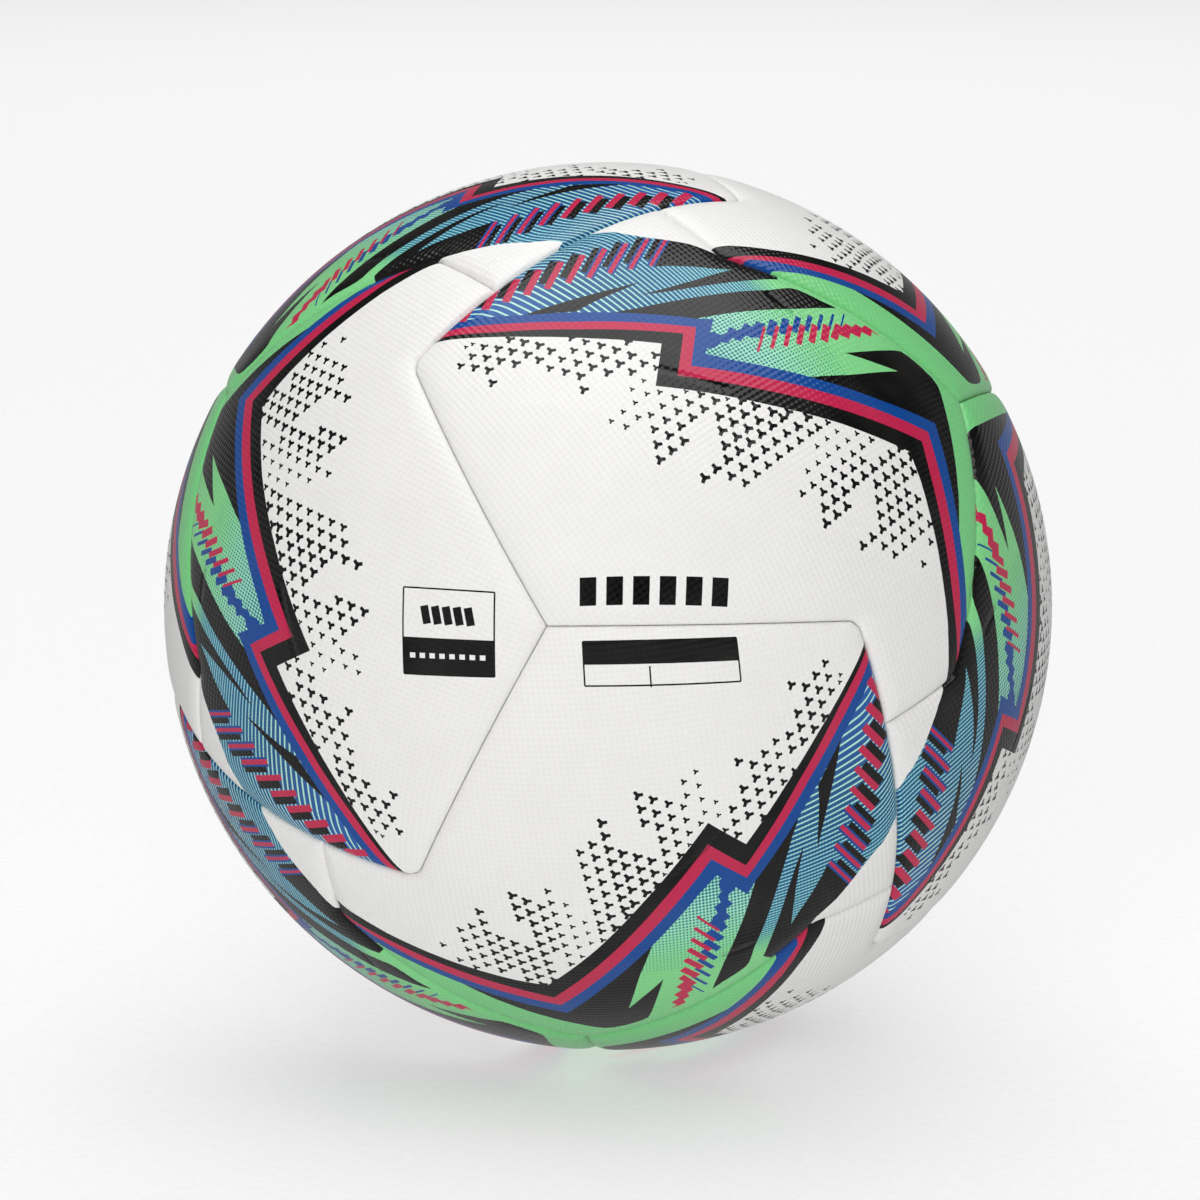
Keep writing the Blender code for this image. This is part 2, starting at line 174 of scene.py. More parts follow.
# Rows of small three-armed dots: the first dot's place, how many, and their size
DOT_STEP = 3.62  # along a row
DOT_RISE = 0.2  # of a row over one step, at the top of the panel
DOT_RISE_GROWTH = 0.005  # of the rise for each millimetre further down
DOT_TOP = 45
DOT_ARM = 1.3  # length of a full-size dot's arms
DOT_ARM_HALF_WIDTH = 0.41
DOT_NOTCH = 0.66  # 0.58 makes the arms' sides parallel, and more fills the notches between them
DOT_ROWS = (
    (-42.7, 49.6, 1, 0.5), (-41.0, 49.1, 1, 0.5), (-46.9, 46.0, 3, 0.85), (-44.8, 43.0, 4, 0.95),
    (-42.9, 39.9, 4, 1.0), (-44.4, 36.3, 1, 0.95), (-37.2, 36.9, 3, 1.0), (-32.5, 34.0, 2, 0.95),
    (-23.1, 34.2, 1, 0.8), (-32.0, 30.4, 4, 0.8), (-29.8, 27.3, 4, 0.9), (-27.8, 24.2, 5, 0.95),
    (-29.4, 20.7, 1, 0.95), (-22.2, 21.2, 3, 1.0), (-17.6, 18.1, 3, 0.9), (-12.3, 15.9, 1, 0.7),
    (-20.4, 14.3, 2, 0.5), (-29.1, 10.3, 4, 0.55), (-15.5, 10.2, 1, 0.6), (-27.1, 7.2, 2, 0.65),
    (-20.7, 6.5, 3, 0.7), (-10.2, 7.1, 1, 0.5), (-22.1, 3.1, 5, 0.85), (-23.7, -0.4, 6, 0.95),
    (-2.8, 0.7, 1, 0.5), (-25.2, -3.8, 3, 1.0), (-7.2, -2.1, 3, 1.0), (-8.7, -5.3, 4, 1.05),
    (-10.1, -8.7, 4, 1.05), (5.1, -7.0, 1, 1.1), (8.8, -8.7, 1, 1.0), (-18.8, -12.8, 8, 1.05),
    (12.6, -11.8, 1, 1.1), (-13.0, -15.5, 6, 0.95), (8.8, -12.8, 1, 1.05), (-10.9, -18.5, 7, 0.85),
    (13.6, -15.1, 1, 0.9), (16.8, -15.0, 1, 0.7), (10.5, -18.9, 3, 0.55), (4.7, -23.0, 6, 0.6),
    (0.5, -27.0, 8, 0.75), (5.7, -28.9, 5, 0.9), (4.0, -32.3, 9, 1.05), (20.8, -33.0, 5, 1.05),
    (2.5, -35.6, 3, 1.05), (19.1, -36.4, 5, 1.0), (17.7, -39.8, 4, 1.0), (9.2, -44.2, 7, 1.0),
    (14.9, -46.6, 5, 0.9), (17.0, -49.6, 5, 0.85), (29.6, -50.9, 1, 0.8), (24.6, -54.8, 1, 0.8),
)


def line_of(start, step, count):
    """Evenly stepped points."""
    return [Vector(start) + Vector(step) * i for i in range(count)]


def bar(start, end, width):
    """A straight bar's corners."""
    start, end = Vector(start), Vector(end)
    side = (end - start).orthogonal().normalized() * width / 2
    return [start + side, end + side, end - side, start - side]


def slanted_pairs():
    """Bars along the panel's top seam, a black one beside each crimson one, which thins out to the
    right and has a blue border there."""
    black_width = 2.0
    blue_borders = 1.1
    first_bordered = 5
    bars = [(CRIMSON, bar((-38.5, 57.4), (-32, 61), 2.2))]
    for i, foot in enumerate(line_of((-32.4, 55.8), (4.87, -1.8), 9)):
        reach = Vector((6.4 + 0.7 * i, 4.3 + 0.33 * i))
        crimson_width = 2.15 - 0.17 * i
        touching = Vector((-reach.y, reach.x)).normalized() * (black_width + crimson_width) / 2
        start = foot + touching + reach * 0.13
        bars.append((BLACK, bar(start, start + reach * 0.85, black_width)))
        if i >= first_bordered:
            bars.append((BLUE, bar(foot, foot + reach, crimson_width + blue_borders)))
        bars.append((CRIMSON, bar(foot, foot + reach, crimson_width)))
    return bars


def zigzag(start, step, rise, fall):
    """Four teeth along a line that sinks: each one's tip and the notch after it."""
    points = []
    for i in range(4):
        tip = Vector(start) + Vector(step) * i
        points += [tip, tip + Vector((rise, fall))]
    return points


def wave_bars():
    """Two rows of slanted bars that run on from the wave: blue ones thin out, crimson ones grow until
    they merge in a zigzag with a pointed tail."""
    bars = []
    for i, foot in enumerate(line_of((14.4, 11), (3.4, -0.85), 8)):
        bars.append((BLUE, bar(foot, foot + Vector((3.9 + 0.17 * i, 3.1 + 0.07 * i)), 2.3 - 0.26 * i)))
    for i, foot in enumerate(line_of((12, 7.7), (3.76, -0.84), 6)):
        bars.append((CRIMSON, bar(foot, foot + Vector((6.4 - 0.42 * i, 5 - 0.26 * i)), 0.7 + 0.26 * i)))
    upper_teeth = zigzag((38.2, 7), (3.07, -0.93), 1.15, -1.5)
    lower_teeth = zigzag((34.7, 2.4), (3.83, -0.6), 1.9, 1.35)
    tail = [Vector((49.8, 0))]
    bars.append((CRIMSON, [Vector((33.4, 3.9))] + upper_teeth + tail + lower_teeth[::-1]))
    return bars


def three_armed_dot(centre, size):
    """A star of three arms: one up, two down to the sides."""
    lean = math.atan2(DOT_RISE + DOT_RISE_GROWTH * (DOT_TOP - centre.y), DOT_STEP)
    corners = []
    for arm in range(3):
        along = Vector((math.cos(math.radians(90 + 120 * arm) + lean),
                        math.sin(math.radians(90 + 120 * arm) + lean)))
        across = along.orthogonal()
        notch = (along - across * math.tan(math.radians(60))) * DOT_ARM_HALF_WIDTH * DOT_NOTCH
        corners.append(centre + notch * size)
        corners.append(centre + (along * DOT_ARM - across * DOT_ARM_HALF_WIDTH) * size)
        corners.append(centre + (along * DOT_ARM + across * DOT_ARM_HALF_WIDTH) * size)
    return corners


def dots():
    """The rows of small dots on the white part."""
    stars = []
    for x, y, count, size in DOT_ROWS:
        rise = DOT_RISE + DOT_RISE_GROWTH * (DOT_TOP - y)
        for centre in line_of((x, y), (DOT_STEP, rise), count):
            stars.append((BLACK, three_armed_dot(centre, size)))
    return stars


def along_the_ball(start, end):
    """Eight steps from one chart point towards another along the shortest way on the ball."""
    first, last = wrap(Vector(start)), wrap(Vector(end))
    return [flatten(first.slerp(last, i / 8)) for i in range(8)]


def patch(*corners):
    """A closed outline whose sides run straight on the ball."""
    return [point for pair in zip(corners, corners[1:] + corners[:1]) for point in along_the_ball(*pair)]


def outlined(corners):
    """The four sides of a box, as thin lines."""
    sides = []
    for start, end in zip(corners, corners[1:] + corners[:1]):
        side = (end - start).orthogonal().normalized() * MARK_LINE / 2
        sides.append((BLACK, patch(start + side, end + side, end - side, start - side)))
    return sides


def box_grid(corner, across, up):
    """A function that gives the chart point at shares of a box's width and height."""
    return lambda u, v: Vector(corner) + Vector(across) * u + Vector(up) * v


def block_mark():
    """Six plain blocks in a row."""
    along, up = Vector((0.847, -0.531)), Vector((0.531, 0.847))
    height, width, pitch = 6.6, 3.9, 6.25
    feet = line_of((-57.6, -23.8), along * pitch, 6)
    return [(BLACK, bar(foot, foot + up * height, width)) for foot in feet]


def table_mark():
    """A black bar over two empty cells."""
    at = box_grid((-64.3, -13.7), (4.3, 37.1), (10.2, -0.5))
    bar_share, split = 0.52, 0.42
    marks = [(BLACK, patch(at(0, 0), at(1, 0), at(1, bar_share), at(0, bar_share)))]
    marks += outlined((at(0, 0), at(1, 0), at(1, 1), at(0, 1)))
    marks.append((BLACK, bar(at(split, bar_share), at(split, 1), MARK_LINE)))
    return marks


def band_mark():
    """An outlined box: a black band with a row of white dashes, and slanted strokes above it."""
    at = box_grid((-62.5, -5.6), (20.4, 9.1), (8.5, -18.4))
    band_share = 0.43
    marks = [(BLACK, patch(at(0, 0), at(1, 0), at(1, band_share), at(0, band_share)))]
    marks += outlined((at(0, 0), at(1, 0), at(1, 1), at(0, 1)))
    for i in range(8):
        u = 0.09 + 0.11 * i
        marks.append((WHITE, bar(at(u, 0.22), at(u + 0.06, 0.22), 1.2)))
    for i in range(5):
        u = 0.24 + 0.12 * i
        marks.append((BLACK, bar(at(u, 0.59), at(u + 0.04, 0.8), 2.0)))
    return marks


PANEL_MARKS = {1: block_mark, 2: band_mark, 3: table_mark}


def placed(points, place):
    """Nominal places of the print as they come out on a panel."""
    return np.array(points) * place[2:] + place[:2]


def print_layers(number):
    """(material, outline) of everything printed on a panel, where a later one covers an earlier one."""
    layers = [
        (BLACK, BLACK_EDGE + OUTSIDE),
        (CRIMSON, CRIMSON_EDGE + OUTSIDE),
        (BLUE, BLUE_EDGE + OUTSIDE),
        (BLACK, FIELD_EDGE + OUTSIDE),
        (HATCH, HATCH_AREA),
        (GREEN, GREEN_AREA),
        (HALFTONE, HALFTONE_AREA),
        (BLACK, LONG_SPIKE),
        (BLACK, RIGHT_WEDGES),
        (BLUE, WAVE_BAND),
    ]
    layers += slanted_pairs() + wave_bars()
    layers.append((WHITE, WHITE_CORNER))
    layers += dots()
    place = PRINT_PLACE.get(number, STRAIGHT)
    layers = [(material, placed(outline, place)) for material, outline in layers]
    layers += PANEL_MARKS.get(number, list)()
    return [(material, finely_stepped(np.array(outline))) for material, outline in layers]


# ---------------------------------------------------------------- flat geometry


def wrap(point):
    """The direction that a point of the flat chart has on the ball."""
    angle = point.length / BALL_RADIUS
    sideways = (CHART_X * point.x + CHART_Y * point.y).normalized()
    return PANEL_CENTRE * math.cos(angle) + sideways * math.sin(angle)


def flatten(direction):
    """The chart point of a direction, wrap's opposite."""
    x, y = direction.dot(CHART_X), direction.dot(CHART_Y)
    angle = math.atan2(math.hypot(x, y), direction.dot(PANEL_CENTRE))
    return Vector((x, y)).normalized() * angle * BALL_RADIUS


def great_arc(start, end):
    """Directions from start towards end along the shortest way, without end itself."""
    steps = max(1, math.ceil(start.angle(end) * BALL_RADIUS / SEAM_STEP))
    return [start.slerp(end, i / steps) for i in range(steps)]


def rounded_corner(before, corner, after, radius):
    """Directions along the arc that rounds a corner between two great arcs."""
    to_before = (before - corner * before.dot(corner)).normalized()
    to_after = (after - corner * after.dot(corner)).normalized()
    half = to_before.angle(to_after) / 2
    radius = radius / BALL_RADIUS
    centre = corner + (to_before + to_after).normalized() * radius / math.sin(half)
    first = (corner + to_before * radius / math.tan(half) - centre).normalized()
    last = (corner + to_after * radius / math.tan(half) - centre).normalized()
    spokes = [first.slerp(last, i / CORNER_STEPS) for i in range(CORNER_STEPS)] + [last]
    return [(centre + spoke * radius).normalized() for spoke in spokes]


def third_turn(corner, start, end):
    """The third of a turn about a three-way corner that takes start to end."""
    turns = [Matrix.Rotation(math.radians(angle), 3, corner) for angle in (120, -120)]
    return min(turns, key=lambda turn: (turn @ start - end).length)


def panel_sides():
    """The panel's edge as six sides in order round it, each a list of chart points with both ends."""
    roof_far_end = Vector((ROOF_END.x, -ROOF_END.y, 0))
    to_apex = Matrix.Rotation(math.radians(-120), 3, SHARP_CORNER)
    apex = to_apex @ ROOF_END
    to_far_side = third_turn(BAND_CORNER, apex, roof_far_end)

    outer = rounded_corner(SHARP_CORNER, wrap(OUTER_CORNER), ROOF_END, OUTER_CORNER_ROUND)
    inner = rounded_corner(BAND_CORNER, wrap(INNER_CORNER), apex, INNER_CORNER_ROUND)
    middle = len(outer) // 2
    long_seam = great_arc(SHARP_CORNER, outer[0]) + outer[: middle + 1]
    roof_seam = outer[middle:-1] + great_arc(outer[-1], ROOF_END)
    band_seam = great_arc(BAND_CORNER, inner[0]) + inner[: middle + 1]
    tip_seam = inner[middle:-1] + great_arc(inner[-1], apex) + [apex]
    top = roof_seam + great_arc(ROOF_END, ROOF_MIDDLE) + great_arc(ROOF_MIDDLE, roof_far_end)
    top.append(roof_far_end)
    far_side = [to_far_side @ d for d in band_seam[:-1] + tip_seam][::-1]
    notch_side = [to_apex @ d for d in long_seam[:-1] + roof_seam + [ROOF_END]][::-1]
    sides = [long_seam, top, far_side, band_seam, tip_seam, notch_side]
    return [np.array([flatten(direction) for direction in side]) for side in sides]


def distance_to_line(points, line):
    """Each point's distance to an open line of chart points."""
    start, along = line[:-1], np.diff(line, axis=0)
    offset = points[:, None] - start
    share = np.clip((offset * along).sum(2) / (along * along).sum(1), 0, 1)
    return np.sqrt(((offset - share[..., None] * along) ** 2).sum(2)).min(1)


def inside(points, outline):
    """Which points a closed outline surrounds."""
    outline = np.array(outline)
    (ax, ay), (bx, by) = outline.T, np.roll(outline, -1, axis=0).T
    x, y = points[:, :1], points[:, 1:]
    spans = (ay > y) != (by > y)
    with np.errstate(divide="ignore", invalid="ignore"):
        crossing = ax + (y - ay) * (bx - ax) / (by - ay)
    return (spans & (x < crossing)).sum(1) % 2 == 1


def stepped_in(outline, distance):
    """A clockwise closed outline moved towards its inside."""
    into = outline - np.roll(outline, 1, axis=0)
    out = np.roll(outline, -1, axis=0) - outline
    into /= np.linalg.norm(into, axis=1, keepdims=True)
    out /= np.linalg.norm(out, axis=1, keepdims=True)
    normal = np.stack([into[:, 1] + out[:, 1], -into[:, 0] - out[:, 0]], axis=1)
    normal /= np.linalg.norm(normal, axis=1, keepdims=True)
    share = normal[:, 0] * into[:, 1] - normal[:, 1] * into[:, 0]
    return outline + normal * distance / np.maximum(share, LEAST_MITRE)[:, None]


def finely_stepped(outline):
    """A closed outline with points added along its sides, so that it follows the curved panel: close
    together beside the seams, wider apart elsewhere."""
    points, needed = [], []
    for start, end in zip(outline, np.roll(outline, -1, axis=0)):
        count = max(1, round(np.linalg.norm(end - start) / FINE_STEP))
        shares = np.arange(count)[:, None] / count
        points.append(start + (end - start) * shares)
        needed.append(np.arange(count) % COARSE_STEPS == 0)
    points, needed = np.concatenate(points), np.concatenate(needed)
    return points[needed | (seam_distance(points) < GRID_MARGIN)]


def circle(centre, radius, count):
    """Evenly spaced points round a centre."""
    turns = np.arange(count) * 2 * math.pi / count
    return np.array(centre) + radius * np.stack([np.cos(turns), np.sin(turns)], axis=1)


SIDES = panel_sides()
SEAM = np.concatenate([side[:-1] for side in SIDES])
EDGE = stepped_in(SEAM, SEAM_GAP / 2)


def seam_distance(points):
    """Each point's distance to the nearest seam."""
    return np.min([distance_to_line(points, side) for side in SIDES], axis=0)


def loose_points(rings, grid_step, grid_margin):
    """Rings that follow the seam, and a triangular grid within them."""
    kept = []
    for depth in rings:
        ring = stepped_in(SEAM, depth)
        kept.append(ring[seam_distance(ring) > RING_TOLERANCE * depth])
    half = int(2 * BALL_RADIUS / grid_step)
    column, row = np.meshgrid(np.arange(-half, half + 1), np.arange(-half, half + 1))
    grid = np.stack([(column + 0.5 * (row % 2)) * grid_step, row * grid_step * math.sqrt(3) / 2], axis=-1)
    grid = grid.reshape(-1, 2)
    grid = grid[inside(grid, SEAM)]
    kept.append(grid[seam_distance(grid) > grid_margin])
    return np.concatenate(kept)


def triangulate(points, loops, lines=()):
    """Triangles between loose points, closed loops and closed lines. Only those inside the first
    loop, and outside the others, are kept."""
    corners = [Vector(point) for point in points]
    edges = []
    for outline in list(loops) + list(lines):
        first, count = len(corners), len(outline)
        corners += [Vector(point) for point in outline]
        edges += [(first + i, first + (i + 1) % count) for i in range(count)]
    found, _, faces, *_ = delaunay_2d_cdt(corners, edges, [], 0, WELD_DISTANCE)
    found = np.array(found)
    faces = np.array(faces)
    middles = found[faces].mean(axis=1)
    kept = inside(middles, loops[0])
    for hole in loops[1:]:
        kept &= ~inside(middles, hole)
    faces = faces[kept]
    used, faces = np.unique(faces, return_inverse=True)
    return found[used], faces.reshape(-1, 3)


def border_loops(faces):
    """The closed chains of edges that only one triangle has, as lists of point numbers."""
    edges = {(a, b) for face in faces.tolist() for a, b in zip(face, face[1:] + face[:1])}
    following = {a: b for a, b in edges if (b, a) not in edges}
    loops = []
    while following:
        start = next(iter(following))
        loop = [start]
        while (step := following.pop(loop[-1])) != start:
            loop.append(step)
        loops.append(loop)
    return sorted(loops, key=len, reverse=True)


# ---------------------------------------------------------------- wrapping a panel


def dip(points, has_valve):
    """How far the surface lies below the ball's radius."""
    total = np.zeros(len(points))
    for side in SIDES:
        distance = distance_to_line(points, side)
        shoulder = SHOULDER_DEPTH * np.clip(1 - distance / SHOULDER_WIDTH, 0, 1) ** SHOULDER_CURVE
        lip = LIP_DEPTH * np.clip(1 - distance / LIP_WIDTH, 0, 1) ** LIP_CURVE
        total += (shoulder + lip) ** CORNER_BLEND
    total = total ** (1 / CORNER_BLEND)
    if has_valve:
        distance = np.linalg.norm(points - VALVE_PLACE, axis=1) - VALVE_HOLE_RADIUS
        total += VALVE_LIP_DEPTH * np.clip(1 - distance / VALVE_LIP_WIDTH, 0, 1) ** LIP_CURVE
    return total


def on_ball(points, has_valve, below=0.0):
    """Chart points at their place on the ball, in metres."""
    distance = np.maximum(np.linalg.norm(points, axis=1), 1e-9)
    angle = distance / BALL_RADIUS
    sideways = points[:, :1] * np.array(CHART_X) + points[:, 1:] * np.array(CHART_Y)
    direction = np.cos(angle)[:, None] * np.array(PANEL_CENTRE)
    direction = direction + np.sin(angle)[:, None] * sideways / distance[:, None]
    return direction * (BALL_RADIUS - dip(points, has_valve) - below)[:, None] * MM


def surface_normals(points, has_valve):
    """Unit normals of the front, which point out of the ball."""
    across, along = np.array((SLOPE_REACH, 0)), np.array((0, SLOPE_REACH))
    slope_x = on_ball(points + across, has_valve) - on_ball(points - across, has_valve)
    slope_y = on_ball(points + along, has_valve) - on_ball(points - along, has_valve)
    normals = np.cross(slope_x, slope_y)
    normals *= np.sign((normals * on_ball(points, has_valve)).sum(1))[:, None]
    return normals / np.linalg.norm(normals, axis=1, keepdims=True)


def print_of(points, layers):
    """The material of the topmost print at each point."""
    found = np.full(len(points), WHITE)
    for material, outline in layers:
        low, high = np.min(outline, axis=0), np.max(outline, axis=0)
        near = np.flatnonzero(((points >= low) & (points <= high)).all(1))
        found[near[inside(points[near], outline)]] = material
    return found


@cache
def flat_panel(number):
    """A panel's front in the chart: points, triangles, and each triangle's print. None stands for
    every panel that has no print place, marks or valve of its own."""
    layers = print_layers(number)
    loops, rings = [EDGE], []
    if number == VALVE_PANEL:
        loops.append(circle(VALVE_PLACE, VALVE_HOLE_RADIUS, VALVE_SIDES))
        rings = [circle(VALVE_PLACE, VALVE_HOLE_RADIUS + out, VALVE_SIDES) for out in VALVE_RINGS]
    loose = loose_points(SHOULDER_RINGS, GRID_STEP, GRID_MARGIN)
    front, faces = triangulate(loose, loops, [outline for _, outline in layers] + rings)
    prints = print_of(front[faces].mean(axis=1), layers)
    return front, wound_outwards(front, faces), prints


def wound_outwards(points, faces):
    """The triangles turned so that they run anticlockwise in the chart."""
    a, b, c = (points[faces[:, i]] for i in range(3))
    backwards = np.cross(b - a, c - a) < 0
    faces[backwards] = faces[backwards][:, ::-1]
    return faces


def panel_mesh(name, number, turn, materials):
    """A closed skin: printed front, narrow rim at the seams, and plain back."""
    has_valve = number == VALVE_PANEL
    stands_alone = has_valve or number in PRINT_PLACE
    front, faces, prints = flat_panel(number if stands_alone else None)
    loops = border_loops(faces)
    outline = [front[loop] for loop in loops]
    back, back_faces = triangulate(loose_points(BACK_RINGS, BACK_GRID_STEP, BACK_GRID_STEP), outline)
    back_faces = wound_outwards(back, back_faces)
    back_loops = border_loops(back_faces)

    rim_faces = []
    first_back = len(front)
    for loop, back_loop in zip(loops, back_loops):
        nearest = [int(np.argmin(((back[back_loop] - front[i]) ** 2).sum(1))) for i in loop]
        below = [first_back + back_loop[i] for i in nearest]
        for i in range(len(loop)):
            j = (i + 1) % len(loop)
            rim_faces.append((loop[j], loop[i], below[i], below[j]))
    all_faces = faces.tolist() + rim_faces + (back_faces[:, ::-1] + first_back).tolist()
    places = np.concatenate([on_ball(front, has_valve), on_ball(back, has_valve, SKIN_THICKNESS)])
    rotation = np.array(turn)
    outward = np.dot(np.cross(np.array(CHART_X), np.array(CHART_Y)), np.array(PANEL_CENTRE))
    if outward < 0:
        all_faces = [face[::-1] for face in all_faces]

    mesh = bpy.data.meshes.new(name)
    mesh.from_pydata((places @ rotation.T).tolist(), [], all_faces)
    for material in materials:
        mesh.materials.append(material)
    slots = np.full(len(all_faces), WHITE)
    slots[: len(faces)] = prints
    mesh.polygons.foreach_set("material_index", slots.astype(np.int32))
    mesh.shade_smooth()

    place = np.array(PRINT_PLACE.get(number, STRAIGHT))
    chart = mesh.attributes.new("chart", "FLOAT_VECTOR", "POINT")
    flat = np.zeros((len(places), 3), np.float32)
    flat[:, :2] = (np.concatenate([front, back]) - place[:2]) / place[2:]
    flat[:, 2] = seam_distance(np.concatenate([front, back]))
    chart.data.foreach_set("vector", flat.ravel())

    normals = np.zeros((len(mesh.loops), 3))
    corners = np.array([corner for face in all_faces[: len(faces)] for corner in face])
    normals[: len(corners)] = (surface_normals(front, has_valve) @ rotation.T)[corners]
    mesh.normals_split_custom_set(normals.tolist())
    return mesh


def panel_turns():
    """The twelve turns of a tetrahedron: a third of a turn, followed by half a turn."""
    halves = [Matrix.Identity(3)] + [Matrix.Rotation(math.pi, 3, axis) for axis in "XYZ"]
    thirds = [Matrix.Rotation(math.radians(angle), 3, SHARP_CORNER) for angle in (0, 120, 240)]
    return [ORIENTATION @ half @ third for half in halves for third in thirds]


# ---------------------------------------------------------------- materials


def linear(red, green, blue):
    """A colour given in display values from 0 to 255, as the shader takes it."""
    def channel(value):
        value /= 255
        return value / 12.92 if value <= 0.04045 else ((value + 0.055) / 1.055) ** 2.4
    return (channel(red), channel(green), channel(blue), 1)


class Recipe:
    """One material's node tree, built from arithmetic on its sockets."""

    def __init__(self, name):
        self.material = bpy.data.materials.new(name)
        self.material.use_nodes = True
        self.nodes = self.material.node_tree.nodes
        self.links = self.material.node_tree.links
        self.shader = self.nodes["Principled BSDF"]

    def put(self, socket, value):
        if isinstance(value, bpy.types.NodeSocket):
            self.links.new(value, socket)
        else:
            socket.default_value = value

    def math(self, operation, *values):
        node = self.nodes.new("ShaderNodeMath")
        node.operation = operation
        for socket, value in zip(node.inputs, values):
            self.put(socket, value)
        return node.outputs[0]

    def add(self, a, b):
        return self.math("ADD", a, b)

    def times(self, a, b):
        return self.math("MULTIPLY", a, b)

    def ramp(self, value, start, end):
        """A smooth step from 0 at start to 1 at end."""
        node = self.nodes.new("ShaderNodeMapRange")
        node.interpolation_type = "SMOOTHSTEP"
        for socket, given in zip(node.inputs, (value, start, end)):
            self.put(socket, given)
        return node.outputs["Result"]

    def scaled(self, value, start, end, low, high):
        """A straight map of start..end to low..high, held at its ends."""
        node = self.nodes.new("ShaderNodeMapRange")
        for socket, given in zip(node.inputs, (value, start, end, low, high)):
            self.put(socket, given)
        return node.outputs["Result"]

    def mix(self, share, first, second):
        """A colour between two. Their sockets share names with the node's other types of mix, so they
        are taken by number."""
        node = self.nodes.new("ShaderNodeMix")
        node.data_type = "RGBA"
        self.put(node.inputs["Factor"], share)
        self.put(node.inputs[6], first)
        self.put(node.inputs[7], second)
        return node.outputs[2]

    def chart(self):
        """The panel's chart, in millimetres: x and y with the distance to the seam, together and
        one by one."""
        node = self.nodes.new("ShaderNodeAttribute")
        node.attribute_name = "chart"
        parts = self.nodes.new("ShaderNodeSeparateXYZ")
        self.links.new(node.outputs["Vector"], parts.inputs[0])
        return node.outputs["Vector"], *parts.outputs

    def distance_to_segment(self, x, y, start, end):
        """How far the chart place x, y lies from a straight stretch."""
        along = Vector(end) - Vector(start)
        from_x, from_y = self.add(x, -start[0]), self.add(y, -start[1])
        share = self.add(self.times(from_x, along.x), self.times(from_y, along.y))
        share = self.scaled(share, 0, along.length_squared, 0, 1)
        off_x = self.add(from_x, self.times(share, -along.x))
        off_y = self.add(from_y, self.times(share, -along.y))
        return self.math("SQRT", self.add(self.times(off_x, off_x), self.times(off_y, off_y)))

    def place(self):
        node = self.nodes.new("ShaderNodeTexCoord")
        return node.outputs["Object"]

    def noise(self, place, scale, detail):
        node = self.nodes.new("ShaderNodeTexNoise")
        self.put(node.inputs["Vector"], place)
        node.inputs["Scale"].default_value = scale
        node.inputs["Detail"].default_value = detail
        return node.outputs["Fac"]

    def cosine(self, value, wavelength):
        return self.math("COSINE", self.times(value, 2 * math.pi / wavelength))

    def bump(self, height, depth, under=None):
        """A relief of the given depth in metres, on top of the one under it."""
        node = self.nodes.new("ShaderNodeBump")
        node.inputs["Strength"].default_value = 1.0
        node.inputs["Distance"].default_value = depth
        self.put(node.inputs["Height"], height)
        if under:
            self.put(node.inputs["Normal"], under)
        return node.outputs["Normal"]

    def finish(self, colour, roughness, normal, ior=1.5):
        self.put(self.shader.inputs["Base Color"], colour)
        self.put(self.shader.inputs["Roughness"], roughness)
        self.put(self.shader.inputs["Normal"], normal)
        self.shader.inputs["IOR"].default_value = ior
        return self.material


EMBOSS_PITCH = 1.41  # millimetres
EMBOSS_LEAN = -0.06  # slope of its rows in the chart
EMBOSS_DEPTH = 0.052 * MM
GRAIN_DEPTH = 0.006 * MM
CREASE_DEPTH = 0.3 * MM
CREASE_WIDTH = 1.5  # millimetres, to each side
CREASES = (((-12.8, 16.4), (-8.6, 11.6)), ((-8.6, 11.6), (-1.4, 3)), ((26.8, 20.6), (28.6, 13.6)))
SKIN_IOR = 1.43

# Tints over the print, each with its largest share: dust, and painted shade in the emboss's valleys, by the
# seams and in the creases
DUST, DUST_SHARE = (150, 146, 140), 0.04
VALLEY_SHADE, VALLEY_SHARE = (50, 48, 46), 0.05
SEAM_SHADE, SEAM_SHARE = (70, 68, 64), 0.12
CREASE_SHADE, CREASE_SHARE = (16, 16, 17), 0.5


